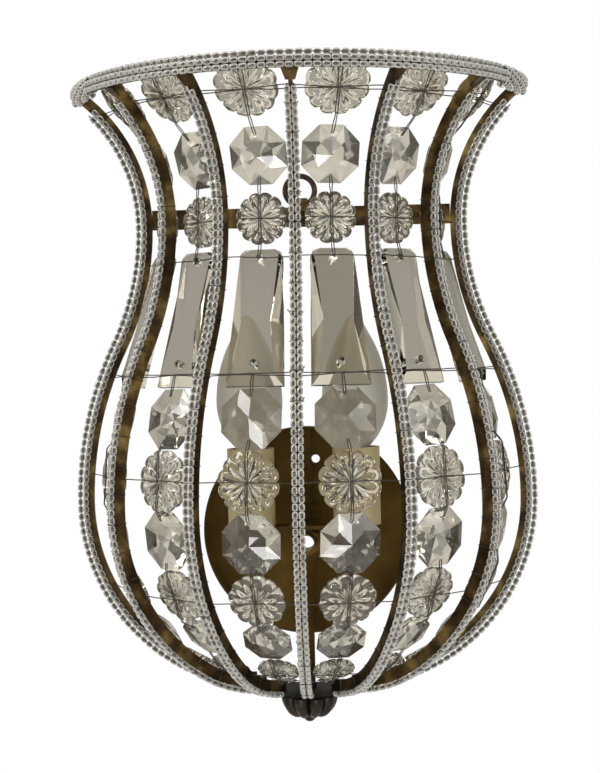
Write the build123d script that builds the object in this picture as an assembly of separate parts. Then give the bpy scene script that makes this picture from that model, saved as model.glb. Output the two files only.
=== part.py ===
from build123d import *
from collections import namedtuple
import math
import os

# Wall sconce: a gilt iron half basket strung with glass beads and cut crystals round two candle lamps.
# Frame: origin on the wall plane at the centre of the round backplate. +X is the viewer's right,
# +Z is up and +Y points into the wall, so the basket stands out towards -Y.

# ---------------------------------------------------------------- driving dimensions (mm, degrees)
# Basket: seven flat strips share one outline. Every level section is an arc of one circle.
rib_slice = 360 / 14           # angle between neighbouring ribs on the plan circle
rim_radius = 124.0             # plan circle through the ribs' outer edges, at the rim
neck_radius = 89.8
belly_radius = 126.3
hub_reach = 30.0               # the ribs end here, on the bottom plate
rim_height = 237.0             # lower edge of the rim band
neck_height = 168.0
belly_height = 17.0
base_height = -84.0
neck_curve = 140.0             # radius of the hollow curve under the neck, on the widest rib
bilge_share = 0.78             # radius of the lowest turn, as a share of the belly's overhang
rib_depth = 6.0
rib_thickness = 2.0
wall_gap = 0.5                 # the basket's back stands this far off the wall
seat_gap = 0.05                # between brazed pieces

# Rim band and the little feet that spread the ribs under it
band_height = 6.0
band_thickness = 1.6
foot_width_top = 9.0
foot_width_low = 5.0
foot_length = 7.0
foot_thickness = 1.5

# Bead strings
bead_diameter = 3.2
bead_gap = 0.15
string_drop = 6.0              # the strings start this far below the rim band
string_hub_gap = 1.0           # and end this far outside the bottom plate
rim_row_pitch = 3.3            # between the two bead rows on the band's outer face

# Crystals
wire_inset = 4.5               # the wires leave the ribs this far inside their outer edge
wire_end_gap = 0.3             # between a wire's end and the rib's face
wire_diameter = 0.7
wire_spread = 2.2              # between the two wires of a pair
crystal_gap = 0.15             # between a crystal's face and the wire in front of it
link_gap = 0.25                # between an upright wire and the wires or glass it passes
rosette_share = 0.19           # thickness of a rosette, as a share of its diameter
octagon_share = 0.29
prism_thickness = 6.0
petal_depth = 0.1              # valley depth between petals, as a share of the rosette's radius
petal_width = 0.4              # blunt end of a petal, as a share of its pitch
petal_slope = 0.72             # front face of a rosette, as a share of its outline
octagon_star = 0.55            # radius of the star of facets on an octagon, as a share of its radius
octagon_star_depth = 0.2       # and how far its points lie back, as a share of the thickness
octagon_girdle = 0.06          # thickness at the edge, as a share of the thickness
octagon_hole = 0.72            # its wire holes, as a share of the distance out to its flat edge
prism_top_height = 147.0       # the wires that hold the long prisms
prism_low_height = 88.5
prism_hole_inset = 5.3
prism_width_top = 22.5
prism_width_low = 30.5
prism_corner = 4.0
prism_bevel = 5.5              # width of the side facets at the waist of the front facet
prism_waist = 0.12             # the waist lies this share of the half length below the middle
prism_foot_bevel = (4.0, 5.0)  # inset of the front facet at its lower corners, across and along
prism_edge = 1.0               # and at its upper corners
prism_girdle = 3.3             # depth of the outline behind the front facet

# Backplate, spine and crossbar
plate_diameter = 114.0
plate_thickness = 2.0
plate_bevel = 1.2
screw_circle = 78.8
screw_angle = 82.0             # of the upper wall screw, from +X
screw_hole_diameter = 4.5
spine_width = 6.0
spine_thickness = 2.0
crossbar_height = 10.7
crossbar_centre_height = 171.5
crossbar_thickness = 2.0

# Hanging ring in its rolled eye
ring_wire = 3.0
ring_mean_radius = 8.0
eye_bore = 4.8
eye_wall = 1.1
eye_width = 8.0
eye_rise = 6.5                 # axis of the eye above the crossbar's centre
eye_forward = 5.2              # axis of the eye in front of the wall

# Bottom plate and finial
hub_radius = 33.2              # plan circle of the bottom plate
hub_thickness = 3.5            # puts the finial below the bead strings
finial_diameter = 32.0
finial_height = 11.0
finial_lobes = 10
finial_valley = 0.84           # radius between two lobes, as a share of the full radius
finial_lobe_width = 0.32       # blunt end of a lobe, as a share of its pitch
finial_levels = ((0, 0.86), (0.22, 1.0), (0.62, 0.8))    # shares of its height and diameter
finial_wall_gap = 1.5          # between the finial cup and the wall
finial_foot_diameter = 11.0
finial_screw_diameter = 4.0
finial_screw_end = 2.0         # stands out above its nut
finial_knob_diameter = 7.0
finial_nut_width = 7.0
finial_nut_height = 3.0

# Lamps
nipple_diameter = 10.0
nipple_bore = 8.0
nipple_length = 14.0
nipple_height = -6.0           # its axis lies below the backplate's centre
nut_width = 14.0
nut_height = 4.0
bracket_thickness = 2.0
bracket_width = 14.0
bracket_end = 10.0             # the crossbar reaches this far outside each lamp's axis
bracket_tab_high = 14.0        # the tab's ends, above and below the backplate's centre
bracket_tab_low = -15.0
lamp_level = 6.0               # top face of the crossbar, on which the lampholders stand
lamp_spacing = 56.0
lamp_forward = 32.0            # lamp axes in front of the wall
holder_diameter = 20.0
holder_height = 37.0
holder_bore = 15.0
holder_floor = 12.0
holder_stem_diameter = 9.5
holder_stem_length = 7.0
holder_nut_width = 13.0
holder_nut_height = 3.0
sleeve_diameter = 25.0
sleeve_wall = 1.2
sleeve_height = 41.0
cap_diameter = 14.0
cap_height = 22.0
contact_diameter = 8.0
contact_height = 2.5
glass_neck_diameter = 13.4
glass_neck_height = 4.0
bulb_diameter = 35.0
bulb_height = 74.0
bulb_belly_height = 29.0       # widest place, above the glass's lower end
bulb_shoulder = (8.4, 63.6)    # radius and height where the flame shape runs out straight to its tip
bulb_tip = (4.0, 71.8)         # radius and height where the rounded tip starts
fit_gap = 0.25                 # running clearance between pieces that slide apart

# Crystal rows from the rim down: name, kind, height of the centre, outline diameter, petals or corners
CrystalRow = namedtuple("CrystalRow", "name kind height diameter count")
crystal_rows = [
    CrystalRow("rosette_row_1", "rosette", 227.0, 33.8, 12),
    CrystalRow("octagon_row_2", "octagon", 196.0, 32.4, 8),
    CrystalRow("rosette_row_3", "rosette", 166.5, 27.2, 12),
    CrystalRow("octagon_row_5", "octagon", 66.5, 34.0, 8),
    CrystalRow("rosette_row_6", "rosette", 33.3, 32.8, 12),
    CrystalRow("octagon_row_7", "octagon", 0.5, 33.2, 8),
    CrystalRow("rosette_row_8", "rosette", -30.5, 30.0, 12),
    CrystalRow("octagon_row_9", "octagon", -55.5, 27.0, 8),
    CrystalRow("rosette_row_10", "rosette", -74.0, 22.0, 12),
    CrystalRow("drop_row_11", "octagon", -82.0, 11.0, 8),
]
top_row = "rosette_row_1"      # held by two level wires, with nothing above it
prism_follows = "rosette_row_3"     # the long prisms hang below this row

# ---------------------------------------------------------------- values that follow
room_size = 4 * (rim_radius + belly_radius)      # a block larger than the whole basket
rib_numbers = range(-3, 4)
column_numbers = range(6)
basket_y = -(wall_gap + rib_thickness / 2)       # the plane of the two end ribs
rim_top = rim_height + band_height
crossbar_back = -wall_gap
crossbar_front = crossbar_back - crossbar_thickness
eye_height = crossbar_centre_height + eye_rise
ring_height = eye_height + ring_mean_radius
plate_front = -plate_thickness
spine_front = plate_front - seat_gap - spine_thickness
tab_back = spine_front - seat_gap
tab_front = tab_back - bracket_thickness
finial_axis_y = -(finial_wall_gap + finial_diameter / 2)
hub_bottom = base_height - seat_gap - hub_thickness

os.makedirs("parts", exist_ok=True)


def save(name, shape):
    """Writes one sub-part under its node name."""
    export_step(shape, os.path.join("parts", name + ".step"))


def group(solids):
    """Separate solids of one node."""
    return Compound(children=list(solids))


# ---------------------------------------------------------------- outline of the basket
# A span is one arc of a rib's outer edge. Its points are found from the direction of the edge's
# outward normal: -90 is straight down at the hub, 0 is level at the belly and at the neck.
Span = namedtuple("Span", "centre radius bulges low_angle high_angle")


def rib_offset(rib):
    """Where a rib lies on a plan circle of radius 1, from the middle of the basket's back."""
    angle = math.radians(rib * rib_slice)
    return math.sin(angle), math.cos(angle) - math.cos(math.radians(3 * rib_slice))


def rib_reach(rib):
    """A rib's distance from the middle of the back, for each mm of the plan circle's radius."""
    return math.hypot(*rib_offset(rib))


def rib_spans(rib):
    """The five tangent arcs of a rib's outer edge, from the hub up to the rim."""
    reach = rib_reach(rib)
    neck, belly, hub = reach * neck_radius, reach * belly_radius, reach * hub_reach
    flare_out = reach * rim_radius - neck
    flare_up = rim_height - neck_height
    flare = (flare_out**2 + flare_up**2) / (2 * flare_out)
    swell, fall = belly - neck, neck_height - belly_height
    both = (swell**2 + fall**2) / (2 * swell)
    hollow = neck_curve / reach
    shoulder = both - hollow
    bend = math.asin(fall / both)
    overhang, drop = belly - hub, belly_height - base_height
    bilge = bilge_share * overhang
    side = (overhang**2 + drop**2 - 2 * drop * bilge) / (2 * (overhang - bilge))
    side_centre = (belly - side, belly_height)
    bilge_centre = (hub, base_height + bilge)
    turn = math.atan2(bilge_centre[1] - side_centre[1], bilge_centre[0] - side_centre[0])
    return [
        Span(bilge_centre, bilge, True, -math.pi / 2, turn),
        Span(side_centre, side, True, turn, 0.0),
        Span((belly - shoulder, belly_height), shoulder, True, 0.0, bend),
        Span((neck + hollow, neck_height), hollow, False, bend, 0.0),
        Span((neck + flare, neck_height), flare, False, 0.0, -math.asin(flare_up / flare)),
    ]


def span_point(span, angle, offset=0.0):
    """Distance out and height of a point, moved square to the edge by offset."""
    arm = span.radius + offset if span.bulges else offset - span.radius
    return span.centre[0] + arm * math.cos(angle), span.centre[1] + arm * math.sin(angle)


def angle_at_height(span, height):
    sign = 1 if span.bulges else -1
    sine = sign * (height - span.centre[1]) / span.radius
    return math.asin(max(-1.0, min(1.0, sine)))


def edge_arcs(rib, offset, low_reach, high):
    """Arcs along a rib's outer edge from a reach near the hub up to a height."""
    arcs = []
    for number, span in enumerate(rib_spans(rib)):
        start, end = span.low_angle, span.high_angle
        if number == 0:
            out = rib_reach(rib) * low_reach - span.centre[0]
            start = -math.acos(out / span.radius)
        if number == 4:
            end = angle_at_height(span, high)
        middle = (start + end) / 2
        arcs.append(ThreePointArc(*[span_point(span, a, offset) for a in (start, middle, end)]))
    return arcs


def edge_place(rib, height, offset=0.0):
    """Distance out and height of the point at an offset square to a rib's edge, which has the given height."""
    for span in rib_spans(rib):
        if height <= span_point(span, span.high_angle)[1]:
            break
    return span_point(span, angle_at_height(span, height), offset)


def rib_direction(rib):
    """Level unit vector from the middle of the back towards a rib."""
    sideways, forward = rib_offset(rib)
    return Vector(sideways, -forward, 0).normalized()


def rib_plane(rib, shift=0.0):
    """A rib's own plane: x outwards, y up. Shift moves it towards the viewer's right."""
    out = rib_direction(rib)
    across = Vector(-out.Y, out.X, 0)
    return Plane(origin=Vector(0, basket_y, 0) + across * shift, x_dir=out, z_dir=-across)


def edge_strip(rib, inner, outer, width, shift, low_reach, high):
    """A strip that follows a rib's outer edge between two offsets from it."""
    inside = edge_arcs(rib, inner, low_reach, high)
    outside = edge_arcs(rib, outer, low_reach, high)
    ends = [Line(inside[0] @ 0, outside[0] @ 0), Line(inside[-1] @ 1, outside[-1] @ 1)]
    face = make_face(Wire([*inside, *outside, *ends]))
    return rib_plane(rib, shift) * extrude(face, amount=width / 2, both=True)


def plan_centre():
    """Centre of the rim's plan circle, behind the wall plane."""
    return basket_y + rim_radius * math.cos(math.radians(3 * rib_slice))


def in_front(shape, back_y):
    """What lies on the room's side of a plane parallel to the wall."""
    return shape & Pos(0, back_y - room_size / 2, 0) * Box(room_size, room_size, room_size)


def hoop(inner_radius, outer_radius, low, high, back_y):
    """A level ring round the rim's plan centre, cut off at back_y."""
    ring = Pos(0, plan_centre(), low) * (
        Cylinder(outer_radius, high - low, align=(Align.CENTER, Align.CENTER, Align.MIN))
        - Cylinder(inner_radius, high - low, align=(Align.CENTER, Align.CENTER, Align.MIN))
    )
    return in_front(ring, back_y)


# ---------------------------------------------------------------- frame
def rim_band():
    return hoop(rim_radius, rim_radius + band_thickness, rim_height, rim_top, -wall_gap)


def rib_foot(rib):
    """The spread end of a strip, a tapering plate that runs up under the rim band."""
    top_span = rib_spans(rib)[4]
    out, up = span_point(top_span, top_span.high_angle)
    normal = top_span.high_angle
    along = (math.sin(normal), -math.cos(normal))
    local = rib_plane(rib)
    centre = local.origin + local.x_dir * out + Vector(0, 0, up)
    down = local.x_dir * along[0] + Vector(0, 0, along[1])
    outward = local.x_dir * math.cos(normal) + Vector(0, 0, math.sin(normal))
    top, low, lift = foot_width_top / 2, foot_width_low / 2, band_thickness
    outline = Polyline((-lift, -top), (0, -top), (foot_length, -low), (foot_length, low), (0, top),
                       (-lift, top), close=True)
    plate = extrude(make_face(outline), amount=-foot_thickness)
    return Plane(origin=centre, x_dir=down, z_dir=outward) * plate


def rib(number):
    """A flat iron strip on edge, seated on the bottom plate and inside the rim band."""
    strip = edge_strip(number, -rib_depth, 0, rib_thickness, 0, hub_reach, rim_height)
    top_span = rib_spans(number)[4]
    corner = span_point(top_span, top_span.high_angle)
    inner = span_point(top_span, top_span.high_angle, -rib_depth)
    wedge = make_face(Polyline(corner, inner, (corner[0] + band_thickness, inner[1]),
                               (corner[0] + band_thickness, corner[1]), close=True))
    strip += rib_plane(number) * extrude(wedge, amount=rib_thickness / 2, both=True)
    strip += rib_foot(number)
    thick = 4 * band_thickness
    band_room = hoop(rim_radius - seat_gap, rim_radius + thick, rim_height - thick, rim_top + thick, thick)
    above = Pos(0, 0, rim_top + room_size / 2) * Box(room_size, room_size, room_size)
    return in_front(strip - band_room - above, -wall_gap)


def bottom_hub():
    """The flat plate under the strips' lower ends, straight along the wall."""
    back = basket_y + hub_radius * math.cos(math.radians(3 * rib_slice))
    disc = Pos(0, back, hub_bottom) * Cylinder(
        hub_radius, hub_thickness, align=(Align.CENTER, Align.CENTER, Align.MIN))
    plate = in_front(disc, -wall_gap)
    hole = Pos(0, finial_axis_y, hub_bottom) * Cylinder(finial_screw_diameter / 2 + fit_gap, 4 * hub_thickness)
    return plate - hole


def top_crossbar():
    """Flat bar between the end strips, with a tongue rolled forward into the ring's eye."""
    half = edge_place(3, neck_height, -rib_depth)[0] - seat_gap
    low = crossbar_centre_height - crossbar_height / 2
    mid_y = (crossbar_back + crossbar_front) / 2
    bar = Pos(0, mid_y, crossbar_centre_height) * Box(2 * half, crossbar_thickness, crossbar_height)
    eye_radius = eye_bore / 2 + eye_wall
    tongue = Pos(0, mid_y, low) * Box(
        eye_width, crossbar_thickness, eye_height - low, align=(Align.CENTER, Align.CENTER, Align.MIN))
    roll = Pos(0, -eye_forward, eye_height) * Rot(0, 90, 0) * Cylinder(eye_radius, eye_width)
    neck_depth = eye_forward - wall_gap
    web = Pos(0, crossbar_back, eye_height - eye_radius) * Box(
        eye_width, neck_depth, eye_wall, align=(Align.CENTER, Align.MAX, Align.MIN))
    bore = Pos(0, -eye_forward, eye_height) * Rot(0, 90, 0) * Cylinder(eye_bore / 2, 2 * eye_width)
    return bar + tongue + web + roll - bore


def hanging_ring():
    """Round wire ring, upright, its lowest wire in the middle of the eye."""
    sag = ring_mean_radius - math.sqrt(ring_mean_radius**2 - (eye_width / 2) ** 2)
    height = ring_height - sag / 2
    return Pos(0, -eye_forward, height) * Rot(90, 0, 0) * Torus(ring_mean_radius, ring_wire / 2)


def nipple_hole(length):
    """The hole in backplate, spine and bracket through which the nipple passes."""
    return Pos(0, 0, nipple_height) * Rot(90, 0, 0) * Cylinder(nipple_diameter / 2 + seat_gap, length)


def backplate():
    disc = Rot(90, 0, 0) * Cylinder(
        plate_diameter / 2, plate_thickness, align=(Align.CENTER, Align.CENTER, Align.MIN))
    disc = chamfer(disc.edges().group_by(Axis.Y)[0], plate_bevel)
    holes = [nipple_hole(4 * plate_thickness)]
    for turn in (screw_angle, screw_angle + 180):
        x = screw_circle / 2 * math.cos(math.radians(turn))
        z = screw_circle / 2 * math.sin(math.radians(turn))
        holes.append(Pos(x, 0, z) * Rot(90, 0, 0) * Cylinder(screw_hole_diameter / 2, 4 * plate_thickness))
    return disc - holes


def back_spine():
    """Upright strip on the backplate's face, from the bottom plate to the plate's top."""
    high = plate_diameter / 2
    mid_y = (plate_front - seat_gap + spine_front) / 2
    low = base_height + seat_gap
    strip = Pos(0, mid_y, low) * Box(
        spine_width, spine_thickness, high - low, align=(Align.CENTER, Align.CENTER, Align.MIN))
    boss = Pos(0, mid_y, nipple_height) * Rot(90, 0, 0) * Cylinder(
        nipple_diameter / 2 + spine_thickness, spine_thickness)
    return strip + boss - nipple_hole(8 * spine_thickness)


# ---------------------------------------------------------------- finial
def lobed_points(diameter, count, valley, width):
    """A round outline of blunt lobes, three points a lobe: the valley and the two ends of its blunt tip."""
    radius, points = diameter / 2, []
    for lobe in range(count):
        for share, length in ((0.0, valley), ((1 - width) / 2, 1.0), ((1 + width) / 2, 1.0)):
            turn = 2 * math.pi * (lobe + share) / count
            points.append((radius * length * math.cos(turn), radius * length * math.sin(turn)))
    return points


def finial_outline(diameter):
    """A round outline of blunt lobes, as a polygon of three points a lobe."""
    points = lobed_points(diameter, finial_lobes, finial_valley, finial_lobe_width)
    return make_face(Polyline(*points, close=True))


def finial_cup():
    """Lobed bronze cup, wide at the top, that closes the basket's bottom."""
    top = hub_bottom - seat_gap
    levels = (*finial_levels, (1.0, finial_foot_diameter / finial_diameter))
    sections = [Pos(0, 0, -finial_height * depth) * finial_outline(finial_diameter * width)
                for depth, width in levels]
    cup = loft(sections, ruled=True)
    bore = Cylinder(finial_screw_diameter / 2 + fit_gap, 4 * finial_height)
    return Pos(0, finial_axis_y, top) * (cup - bore)


def finial_screw():
    """Round-headed screw up through the cup and the bottom plate."""
    head_top = hub_bottom - seat_gap - finial_height - seat_gap
    shank_length = finial_height + hub_thickness + finial_nut_height + finial_screw_end
    shank = Cylinder(finial_screw_diameter / 2, shank_length, align=(Align.CENTER, Align.CENTER, Align.MIN))
    dome = Sphere(finial_knob_diameter / 2) & Box(
        finial_knob_diameter, finial_knob_diameter, finial_knob_diameter,
        align=(Align.CENTER, Align.CENTER, Align.MAX))
    return Pos(0, finial_axis_y, head_top) * (shank + dome)


def hex_nut(width, height, bore):
    body = extrude(RegularPolygon(width / 2, 6, major_radius=False), amount=height)
    return body - Cylinder(bore / 2, 4 * height)


def finial_nut():
    nut = hex_nut(finial_nut_width, finial_nut_height, finial_screw_diameter + 2 * seat_gap)
    return Pos(0, finial_axis_y, hub_bottom + hub_thickness + seat_gap) * nut


# ---------------------------------------------------------------- lamps
def bracket_nipple():
    """Hollow threaded tube through backplate, spine and bracket: the cable comes in here."""
    outer = Cylinder(nipple_diameter / 2, nipple_length, align=(Align.CENTER, Align.CENTER, Align.MIN))
    bore = Cylinder(nipple_bore / 2, 4 * nipple_length)
    return Pos(0, 0, nipple_height) * Rot(90, 0, 0) * (outer - bore)


def bracket_nut():
    nut = hex_nut(nut_width, nut_height, nipple_diameter + 2 * seat_gap)
    return Pos(0, tab_front - seat_gap, nipple_height) * Rot(90, 0, 0) * Rot(0, 0, 30) * nut


def lamp_bracket():
    """Bent strip: a tab on the nipple, an arm forward and a crossbar under the two lampholders."""
    tab = Pos(0, tab_back, bracket_tab_low) * Box(
        bracket_width, bracket_thickness, bracket_tab_high - bracket_tab_low,
        align=(Align.CENTER, Align.MAX, Align.MIN))
    arm = Pos(0, tab_back, lamp_level) * Box(
        bracket_width, lamp_forward + tab_back, bracket_thickness,
        align=(Align.CENTER, Align.MAX, Align.MAX))
    bar = Pos(0, -lamp_forward, lamp_level) * Box(
        lamp_spacing + 2 * bracket_end, bracket_width, bracket_thickness,
        align=(Align.CENTER, Align.CENTER, Align.MAX))
    body = tab + arm + bar - nipple_hole(8 * bracket_thickness)
    for side in (-1, 1):
        body -= lamp_place(side, 0) * Cylinder(holder_stem_diameter / 2 + seat_gap, 8 * bracket_thickness)
    return body


def lampholder(side):
    """Candle lampholder: a deep socket on a threaded stem."""
    body = Cylinder(holder_diameter / 2, holder_height, align=(Align.CENTER, Align.CENTER, Align.MIN))
    stem = Pos(0, 0, seat_gap) * Cylinder(
        holder_stem_diameter / 2, holder_stem_length, align=(Align.CENTER, Align.CENTER, Align.MAX))
    socket = Pos(0, 0, holder_floor) * Cylinder(
        holder_bore / 2, holder_height, align=(Align.CENTER, Align.CENTER, Align.MIN))
    return lamp_place(side, seat_gap) * (body + stem - socket)


def lamp_place(side, rise):
    return Pos(side * lamp_spacing / 2, -lamp_forward, lamp_level + rise)


def holder_nut(side):
    nut = hex_nut(holder_nut_width, holder_nut_height, holder_stem_diameter + 2 * seat_gap)
    return lamp_place(side, -bracket_thickness - seat_gap - holder_nut_height) * nut


def candle_sleeve(side):
    """Cream tube over the lampholder."""
    outer = Cylinder(sleeve_diameter / 2, sleeve_height, align=(Align.CENTER, Align.CENTER, Align.MIN))
    bore = Cylinder(sleeve_diameter / 2 - sleeve_wall, 4 * sleeve_height)
    return lamp_place(side, seat_gap) * (outer - bore)


def bulb_cap(side):
    """Screw cap with its centre contact, down in the socket."""
    barrel = Cylinder(cap_diameter / 2, cap_height, align=(Align.CENTER, Align.CENTER, Align.MIN))
    contact = Cylinder(contact_diameter / 2, contact_height, align=(Align.CENTER, Align.CENTER, Align.MAX))
    return lamp_place(side, holder_floor + fit_gap + contact_height) * (barrel + contact)


def bulb_glass(side):
    """Frosted candle bulb above its cap."""
    neck = glass_neck_diameter / 2
    belly = (bulb_diameter / 2, bulb_belly_height)
    outline = [
        Line((0, 0), (neck, 0)),
        Line((neck, 0), (neck, glass_neck_height)),
        TangentArc(belly, (neck, glass_neck_height), tangent=(0, -1)),
        TangentArc(belly, bulb_shoulder, tangent=(0, 1)),
        Line(bulb_shoulder, bulb_tip),
        TangentArc((0, bulb_height), bulb_tip, tangent=(1, 0)),
        Line((0, bulb_height), (0, 0)),
    ]
    profile = make_face(Wire(outline))
    glass = revolve(Plane.XZ * profile, Axis.Z)
    base = holder_floor + fit_gap + contact_height + cap_height + seat_gap
    return lamp_place(side, base) * glass


# ---------------------------------------------------------------- beads
def rib_beads(number):
    """Two strings of beads side by side on a rib's outer edge."""
    low, high = bead_gap, bead_gap + bead_diameter
    step = (bead_diameter + bead_gap) / 2
    ends = (hub_radius + string_hub_gap, rim_height - string_drop)
    if abs(number) < 3:
        return group(edge_strip(number, low, high, bead_diameter, side * step, *ends) for side in (-1, 1))
    inward = -1 if number > 0 else 1
    front = inward * (rib_thickness / 2 + bead_gap + bead_diameter / 2)
    return group([edge_strip(number, low, high, bead_diameter, inward * step / 2, *ends),
                  edge_strip(number, -high, -low, bead_diameter, front, *ends)])


def rim_beads():
    """Three bead rows on the rim band: one on its top edge and two on its outer face."""
    half = bead_diameter / 2
    middle = rim_radius + band_thickness / 2
    outside = rim_radius + band_thickness + bead_gap
    rows = [hoop(middle - half, middle + half, rim_top + bead_gap, rim_top + bead_gap + bead_diameter, -wall_gap)]
    for row in range(2):
        high = rim_top - row * rim_row_pitch
        rows.append(hoop(outside, outside + bead_diameter, high - bead_diameter, high, -wall_gap))
    return group(rows)


# ---------------------------------------------------------------- crystals and their wires
def rib_wire_point(number, height):
    """Where the wires of a row meet a rib: inside the edge point that has the given height."""
    out, up = edge_place(number, height, -wire_inset)
    heading = rib_direction(number)
    return Vector(heading.X * out, heading.Y * out + basket_y, up)


def column_plane(column, height):
    """Frame half way between two ribs: x level from rib to rib, y up the column, z outwards."""
    left, right = (rib_wire_point(column - 3 + side, height) for side in (0, 1))
    step = 0.5
    above, below = ((rib_wire_point(column - 3, height + rise) + rib_wire_point(column - 2, height + rise))
                    for rise in (step, -step))
    across = (right - left).normalized()
    outward = across.cross(above - below).normalized()
    return Plane(origin=(left + right) * 0.5, x_dir=across, z_dir=outward)


def scaled_face(points, scale, depth):
    return Pos(0, 0, depth) * make_face(Polyline(*[(x * scale, y * scale) for x, y in points], close=True))


def rosette(diameter, count):
    """Moulded rosette: petals slope from a full outline to a smaller front face."""
    points = lobed_points(diameter, count, 1 - petal_depth, petal_width)
    back = -crystal_gap - rosette_share * diameter
    return loft([scaled_face(points, 1.0, back), scaled_face(points, petal_slope, -crystal_gap)], ruled=True)


def cut_stone(points, faces):
    """A solid with flat facets: each face lists the numbers of its corner points."""
    return Solid(Shell([make_face(Polyline(*[points[n] for n in face], close=True)) for face in faces]))


def octagon(diameter, count):
    """Cut octagon: an eight-pointed star of facets on both faces, triangles round it and a thin girdle."""
    radius, thickness = diameter / 2, octagon_share * diameter
    star, half_girdle = octagon_star * radius, octagon_girdle * thickness / 2
    middle = thickness / 2
    rings = []
    for reach, shift, depth in ((star, 0, octagon_star_depth * thickness), (radius, 0.5, middle - half_girdle),
                                (radius, 0.5, middle + half_girdle), (star, 0, (1 - octagon_star_depth) * thickness)):
        turns = [2 * math.pi * (n + shift) / count for n in range(count)]
        rings.append([(reach * math.cos(t), reach * math.sin(t), -crystal_gap - depth) for t in turns])
    front, back = (0, 0, -crystal_gap), (0, 0, -crystal_gap - thickness)
    points = [front, *(point for ring in rings for point in ring), back]
    faces = []
    for n in range(count):
        m = (n + 1) % count
        upper, rim, low_rim, lower = ((1 + ring * count + n, 1 + ring * count + m) for ring in range(4))
        faces += [(0, *upper), (upper[0], rim[0], upper[1]), (upper[1], *rim), (*rim, low_rim[1], low_rim[0]),
                  (lower[1], *low_rim), (lower[0], low_rim[0], lower[1]), (len(points) - 1, *lower)]
    return cut_stone(points, faces)


def prism_plane(column):
    """Frame of a long prism, half way between its upper and lower wires."""
    top = column_plane(column, prism_top_height).origin
    low = column_plane(column, prism_low_height).origin
    middle = (prism_top_height + prism_low_height) / 2
    across = column_plane(column, middle).x_dir
    return Plane(origin=(top + low) * 0.5, x_dir=across, z_dir=across.cross(top - low))


def prism_half(column):
    """Half the length of a long prism."""
    top = column_plane(column, prism_top_height).origin
    low = column_plane(column, prism_low_height).origin
    return (top - low).length / 2 + prism_hole_inset


def prism(column):
    """Long coffin-shaped prism: a waisted front facet, two facets on each side of it and a flat back."""
    high, wide, narrow, cut = prism_half(column), prism_width_low / 2, prism_width_top / 2, prism_corner
    foot_x, foot_y = prism_foot_bevel
    waist_x, waist_y = (wide + narrow) / 2 - prism_bevel, -prism_waist * high
    half = [(wide, -high), (narrow, high - cut), (narrow - cut, high)]
    half_front = [(wide - foot_x, foot_y - high), (waist_x, waist_y), (narrow - prism_edge, high - cut),
                  (narrow - cut, high - prism_edge)]
    levels = ((half_front, 0.0), (half, prism_girdle), (half, prism_thickness))
    points = []
    for side, depth in levels:
        ring = side + [(-x, y) for x, y in reversed(side)]
        points += [(x, y, -crystal_gap - depth) for x, y in ring]
    right = [(0, 8, 1), (1, 8, 9), (1, 9, 2), (2, 9, 10, 3)]
    left = [(7, 13, 6), (6, 13, 12), (6, 12, 5), (5, 12, 11, 4)]
    ends = [(3, 10, 11, 4), (7, 0, 8, 13), tuple(range(8)), tuple(range(14, 20))]
    sides = [(8 + n, 8 + (n + 1) % 6, 14 + (n + 1) % 6, 14 + n) for n in range(6)]
    return prism_plane(column) * cut_stone(points, right + left + ends + sides)


def crystal(row, column):
    shape = rosette if row.kind == "rosette" else octagon
    return column_plane(column, row.height) * shape(row.diameter, row.count)


def wire(start, end):
    """Straight wire of square section between two points."""
    path = end - start
    return Plane(origin=start, z_dir=path) * extrude(RegularPolygon(wire_diameter / 2, 4), amount=path.length)


def cross_wire(column, height, rise=0.0):
    """Wire from the face of one rib to the face of the next, past the front of a crystal."""
    plane = column_plane(column, height)
    ends = []
    for number, way in ((column - 3, 1), (column - 2, -1)):
        across = Vector(-rib_direction(number).Y, rib_direction(number).X, 0)
        stop = (rib_thickness / 2 + wire_end_gap) / plane.x_dir.dot(across)
        ends.append(rib_wire_point(number, height) + plane.x_dir * (way * stop))
    lift = plane.y_dir * rise + plane.z_dir * (wire_diameter / 2)
    return wire(ends[0] + lift, ends[1] + lift)


def point_in(plane, x, y, z):
    return plane.origin + plane.x_dir * x + plane.y_dir * y + plane.z_dir * z


def link_place(row):
    """Where the upright wires leave a crystal: distance from its centre and depth, in its own frame."""
    if row.kind == "rosette":
        return row.diameter / 2 * petal_slope, 3 * wire_diameter / 2 + link_gap
    edge, star = row.diameter / 2 * math.cos(math.pi / row.count), row.diameter / 2 * octagon_star
    along = (edge * octagon_hole - star) / (edge - star)
    fall = octagon_star_depth + ((1 - octagon_girdle) / 2 - octagon_star_depth) * along
    return edge * octagon_hole, wire_diameter / 2 + link_gap - octagon_share * row.diameter * fall


def prism_place(column, way):
    """Point just beyond the level wires at a prism's upper (way 1) or lower (way -1) end."""
    out = prism_half(column) - prism_hole_inset + 2 * wire_diameter
    return prism_plane(column), way * out, wire_diameter / 2 + link_gap


def upright_wires(column):
    """Pairs of wires down a column: over each rosette's face, and on to its neighbours' holes."""
    runs, upper = [], None
    for row in crystal_rows:
        plane = column_plane(column, row.height)
        out, lift = link_place(row)
        if upper is not None:
            runs.append((upper, (plane, out, lift)))
        if row.kind == "rosette":
            high = wire_diameter if row.name == top_row else out
            runs.append(((plane, high, lift), (plane, -out, lift)))
        upper = (plane, -out, lift)
        if row.name == prism_follows:
            runs.append((upper, prism_place(column, 1)))
            upper = prism_place(column, -1)
    wires = []
    for (top, top_y, top_z), (foot, foot_y, foot_z) in runs:
        for side in (-wire_spread / 2, wire_spread / 2):
            wires.append(wire(point_in(top, side, top_y, top_z), point_in(foot, side, foot_y, foot_z)))
    return wires


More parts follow.
